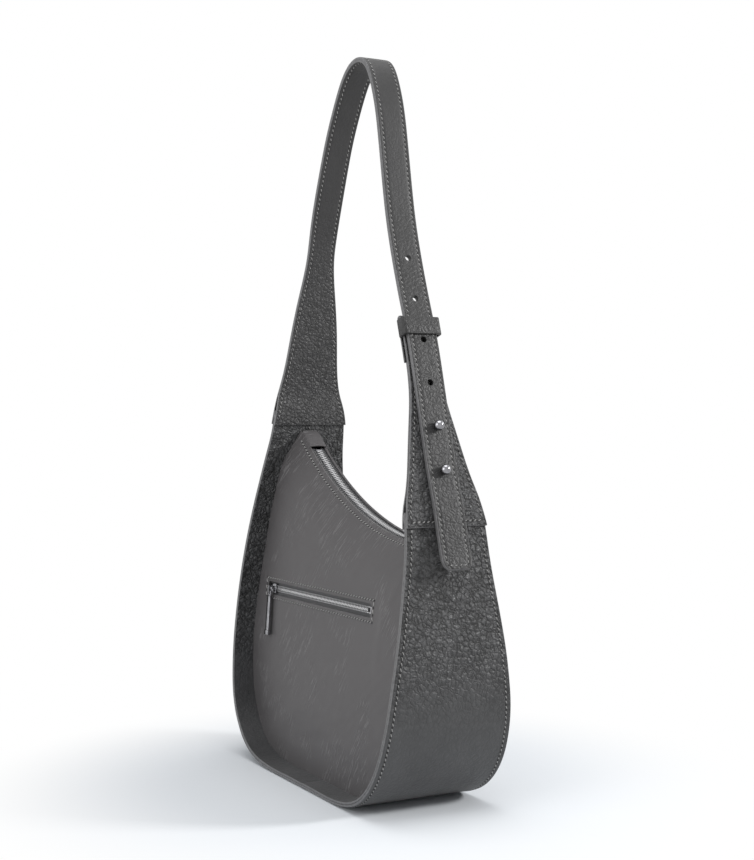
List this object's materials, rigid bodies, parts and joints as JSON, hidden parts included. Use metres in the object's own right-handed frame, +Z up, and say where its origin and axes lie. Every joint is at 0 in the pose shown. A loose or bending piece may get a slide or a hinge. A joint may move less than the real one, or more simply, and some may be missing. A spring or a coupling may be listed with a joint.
{
  "type": "hobo handbag",
  "caption": "Leather hobo bag with a wide gusset, a zip along the curved top, a zip pocket in front and a long strap buttoned on ball studs.",
  "frame": {"origin": "middle of the seam across the bottom of the gusset, on the plane the bag stands on", "axes": "+X to the right seen from the front, -Y out of the side with the zip pocket, +Z up"},
  "size_m": [0.3031, 0.11, 0.5901],
  "materials": {
    "smooth_leather": "satin, smooth",
    "pebbled_leather": "satin, pebbled grain",
    "strap_leather": "satin, smooth with painted edges",
    "hardware": "polished, slightly dark",
    "zip_metal": "bright",
    "zip_tape": "woven tape",
    "lining": "plain woven"
  },
  "bodies": {
    "bag": {"front_panel": "smooth_leather", "back_panel": "smooth_leather", "gusset_left": "pebbled_leather", "gusset_left_facing": "pebbled_leather", "gusset_right": "pebbled_leather", "gusset_right_facing": "pebbled_leather", "tab_outer": "pebbled_leather", "tab_inner": "pebbled_leather", "strap_outer": "strap_leather", "strap_inner": "strap_leather", "keeper": "strap_leather", "stud_lower": "hardware", "stud_upper": "hardware", "stud_screws": "hardware", "main_zip_teeth_front": "zip_metal", "main_zip_teeth_back": "zip_metal", "main_zip_stops": "zip_metal", "pocket_zip_teeth_lower": "zip_metal", "pocket_zip_teeth_upper": "zip_metal", "pocket_zip_stops": "zip_metal", "main_zip_tape_front": "zip_tape", "main_zip_tape_back": "zip_tape", "pocket_zip_tape_lower": "zip_tape", "pocket_zip_tape_upper": "zip_tape", "lining_front": "lining", "lining_back": "lining", "lining_gusset": "lining", "pocket_bag_front": "lining", "pocket_bag_back": "lining"},
    "main_slider": {"main_zip_slider": "hardware"},
    "main_pull": {"main_zip_pull": "hardware"},
    "pocket_slider": {"pocket_zip_slider": "hardware"},
    "pocket_bail": {"pocket_zip_bail": "hardware"},
    "pocket_pull": {"pocket_zip_pull": "hardware"}
  },
  "joints": [
    {"name": "main_zip_run", "type": "hinge", "parent": "bag", "child": "main_slider", "pos_m": [0.12079, 0, 0.53679], "axis": [0, 1, 0], "range_deg": [0, 33.2], "deforming": ["main_zip_teeth_front", "main_zip_teeth_back"]},
    {"name": "main_pull_flip", "type": "hinge", "parent": "main_slider", "child": "main_pull", "pos_m": [0.11025, 0, 0.20504], "axis": [0, 1, 0], "range_deg": [0, 90]},
    {"name": "pocket_zip_run", "type": "slide", "parent": "bag", "child": "pocket_slider", "axis": [0.9996, 0.0292, 0], "range_m": [0, 0.1637], "deforming": ["pocket_zip_teeth_lower", "pocket_zip_teeth_upper"]},
    {"name": "pocket_bail_lift", "type": "hinge", "parent": "pocket_slider", "child": "pocket_bail", "pos_m": [-0.10785, -0.0347, 0.14867], "axis": [-0.9996, -0.0292, 0], "range_deg": [0, 75]},
    {"name": "pocket_pull_swing", "type": "hinge", "parent": "pocket_bail", "child": "pocket_pull", "pos_m": [-0.10784, -0.03495, 0.14453], "axis": [0.0292, -0.9977, 0.0614], "range_deg": [-40, 40]}
  ]
}
